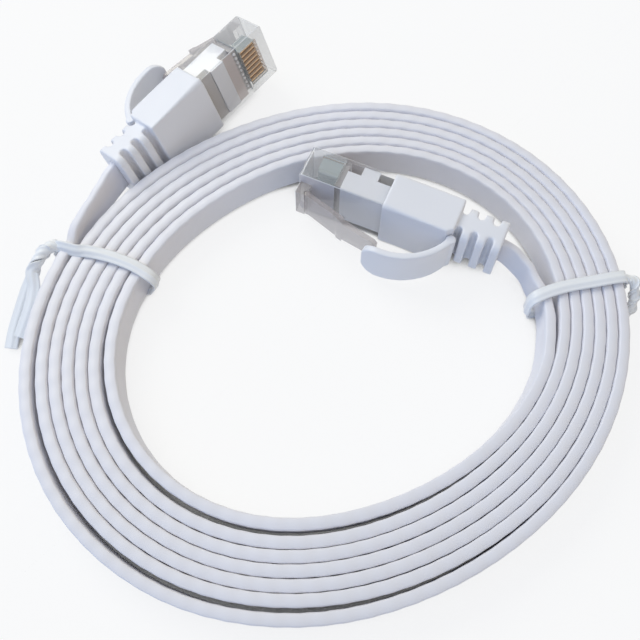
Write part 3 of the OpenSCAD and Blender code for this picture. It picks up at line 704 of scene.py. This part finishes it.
# ---- Blades ----
# Eight thin blades of phosphor bronze, stamped and plated with gold, stand in the slots of each
# housing with their tops just below the contact face.
def plated(name, bright, dull):
    """Plated metal, rubbed a little unevenly."""
    material, shader, surface = finish_of(name, Metallic=1.0)
    place = shader.node("ShaderNodeTexCoord", out="Object")
    rub = shader.node("ShaderNodeTexNoise", {}, {"Vector": place, "Scale": 900.0, "Detail": 3.0})
    feed(shader, surface, "Base Color", between(shader, rub, bright, dull))
    feed(shader, surface, "Roughness", rub * 0.2 + 0.24)
    return material


gold = plated("gold_plate", (0.86, 0.62, 0.40), (0.62, 0.42, 0.25))
nickel = plated("nickel_plate", (0.50, 0.55, 0.54), (0.42, 0.46, 0.45))
for end, plug in (("a", PLUG_A), ("b", PLUG_B)):
    whole = plug_frame(plug)
    own = whole.inverted()
    across = whole.to_3x3() @ Vector((0, 0, 1))

    def thicker(point, whole=whole, own=own):
        """The blade, a little thicker."""
        p = own @ point / MM
        p.z += wider(p.z)
        return whole @ (p * MM)

    for i in range(1, 9):
        def flat_side(face, across=across, bare=i in (1, 8)):
            """The outermost blades' flat sides are left in nickel, and the rest is gold."""
            return 1 if bare and abs(face.normal.dot(across)) > 0.7 else 0

        blade = moulded(f"contact_{end}{i}", f"blade_{end}{i}", 0.05, 2, fit=thicker, choose=flat_side)
        blade.data.materials.append(gold)
        blade.data.materials.append(nickel)
        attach(blade, "cable")
        plug_pieces[end].append(blade)

# ---- Insert, wire guide and conductors ----
# Inside each housing a white moulded insert holds the cable, with its locking tab up to the
# contact face, and a clear guide leads the eight insulated conductors under the blades.
insert_white = soft_plastic("insert_white", (0.83, 0.83, 0.855), (0.79, 0.79, 0.815), 2000.0, 0.34)
guide_clear = clear_plastic("guide_clear", (0.60, 0.56, 0.55), 0.75, 0.2, 0.10)
bump_clear = clear_plastic("bump_clear", (0.97, 0.94, 0.92), 0.95, 0.05, 0.06, 0.5)
for end, plug in (("a", PLUG_A), ("b", PLUG_B)):
    whole = plug_frame(plug)
    own = whole.inverted()

    def fill(point, whole=whole, own=own):
        """The insert filling the hollow rear out to its thinner walls, with its tab up in its pocket."""
        p = own @ point / MM
        if p.y < -2.2:
            p.y = -2.68
        p.z += math.copysign(THINNER, p.z) * smooth_step((abs(p.z) - 4.2) / 0.5)
        p.y += math.copysign(THINNER, p.y) * smooth_step((abs(p.y) - 1.95) / 0.4)
        return whole @ (p * MM)

    insert = moulded(f"insert_{end}", f"white_insert_{end}", 0.12, 2, fit=fill)
    insert.data.materials.append(insert_white)
    guide = moulded(f"wire_guide_{end}", f"clear_guide_{end}", 0.05, 1)
    guide.data.materials.append(guide_clear)
    guide.data.materials.append(bump_clear)
    ribbed = bmesh.new()
    ribbed.from_mesh(guide.data)
    for i in range(9):
        made = bmesh.ops.create_uvsphere(ribbed, u_segments=10, v_segments=8, radius=0.36 * MM, matrix=whole @
                                         Matrix.Translation(Vector((-7.15, -2.36, (i - 4) * CONTACT_PITCH)) * MM))
        for face in {f for v in made["verts"] for f in v.link_faces}:
            face.material_index = 1
            face.smooth = True
    ribbed.to_mesh(guide.data)
    ribbed.free()
    for piece, slot in ((insert, "insert"), (guide, "wire_guide")):
        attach(piece, "cable")
    plug_pieces[end] += [insert]

WIRES = [("white_orange", (0.84, 0.82, 0.80), (0.86, 0.40, 0.12)), ("orange", (0.86, 0.36, 0.08), (0.80, 0.32, 0.07)),
         ("white_green", (0.82, 0.84, 0.82), (0.12, 0.50, 0.20)), ("blue", (0.06, 0.18, 0.58), (0.05, 0.15, 0.50)),
         ("white_blue", (0.82, 0.83, 0.86), (0.08, 0.20, 0.60)), ("green", (0.06, 0.38, 0.13), (0.05, 0.33, 0.11)),
         ("white_brown", (0.84, 0.82, 0.80), (0.32, 0.18, 0.10)), ("brown", (0.28, 0.15, 0.08), (0.24, 0.13, 0.07))]
for i, (colour_name, ground, stripe) in enumerate(WIRES, 1):
    insulation, shader, surface = finish_of("wire_" + colour_name, Roughness=0.4, IOR=1.5)
    place = shader.node("ShaderNodeTexCoord", out="Object")
    bands = shader.node("ShaderNodeTexWave", {"bands_direction": "DIAGONAL"},
                        {"Vector": place, "Scale": 160.0, "Distortion": 0.4})
    striped = shader.node("ShaderNodeMath", {"operation": "GREATER_THAN"}, {0: bands, 1: 0.8})
    feed(shader, surface, "Base Color", between(shader, striped, ground, stripe))
    for end in "ab":
        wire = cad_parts[f"conductor_{end}{i}"]
        wire.data.materials.clear()
        wire.data.materials.append(insulation)

# ---- Boots and hoods ----
# A soft white PVC boot is pushed over the rear of each housing. Its ribbed tail keeps the cable
# from kinking, and from its rear springs a thin hood that arches forward over the latch.
def softened(node, name, grain, passes):
    """A copy of a solid in soft plastic: cut into even small faces, and every edge worn round."""
    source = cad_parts[node]
    data = source.data.copy()
    data.name = name
    piece = bpy.data.objects.new(name, data)
    scene.collection.objects.link(piece)
    even = piece.modifiers.new("even_faces", "REMESH")
    even.mode = "VOXEL"
    even.voxel_size = grain * MM
    shaped = bpy.data.meshes.new_from_object(piece.evaluated_get(bpy.context.evaluated_depsgraph_get()))
    piece.modifiers.clear()
    mesh = bmesh.new()
    mesh.from_mesh(shaped)
    for _ in range(passes):
        bmesh.ops.smooth_vert(mesh, verts=mesh.verts, factor=0.5, use_axis_x=True, use_axis_y=True, use_axis_z=True)
    for face in mesh.faces:
        face.smooth = True
    piece.data = bpy.data.meshes.new(name)
    mesh.to_mesh(piece.data)
    mesh.free()
    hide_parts(node)
    return piece


boot_white = soft_plastic("boot_white", (0.84, 0.84, 0.87), (0.80, 0.80, 0.83), 2200.0, 0.40)
for end in "ab":
    boot = softened(f"boot_{end}", f"soft_boot_{end}", 0.17, 10)
    hood = softened(f"hood_{end}", f"soft_hood_{end}", 0.14, 14)
    for piece, body, slot in ((boot, "cable", "boot"), (hood, f"hood_{end}", "hood")):
        piece.data.materials.append(boot_white)
        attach(piece, body)
        plug_pieces[end].append(piece)

[tuple(p * MM) for p in line[::3]] + [tuple(line[-1] * MM)]
